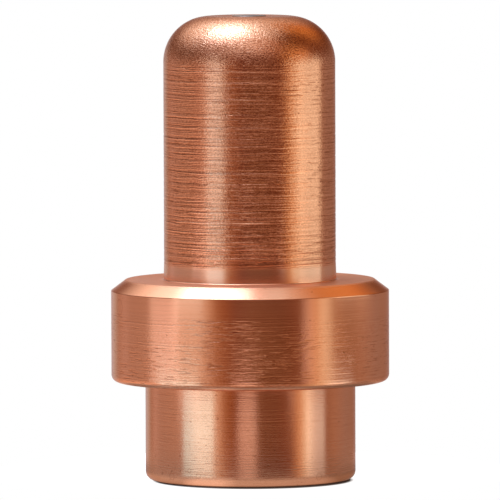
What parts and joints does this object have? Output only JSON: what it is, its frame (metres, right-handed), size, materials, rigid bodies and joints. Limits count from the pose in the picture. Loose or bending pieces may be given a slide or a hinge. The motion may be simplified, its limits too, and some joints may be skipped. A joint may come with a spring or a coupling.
{
  "type": "plasma torch electrode",
  "caption": "Turned copper electrode for a plasma cutting torch: rounded nose with a flush emitter, bevelled collar and a short spigot with a rear socket.",
  "frame": {"origin": "centre of the rear face, on the electrode's axis, where it stands", "axes": "+Z along the axis from the rear face to the nose; X and Y are alike, because the part is round"},
  "size_m": [0.0131, 0.013, 0.0219],
  "materials": {
    "copper": "turned bare copper, satin, with fine circular tool marks",
    "hafnium": "ground grey hafnium"
  },
  "bodies": {
    "root": {"electrode_body": "copper", "emitter_insert": "hafnium"}
  },
  "joints": []
}
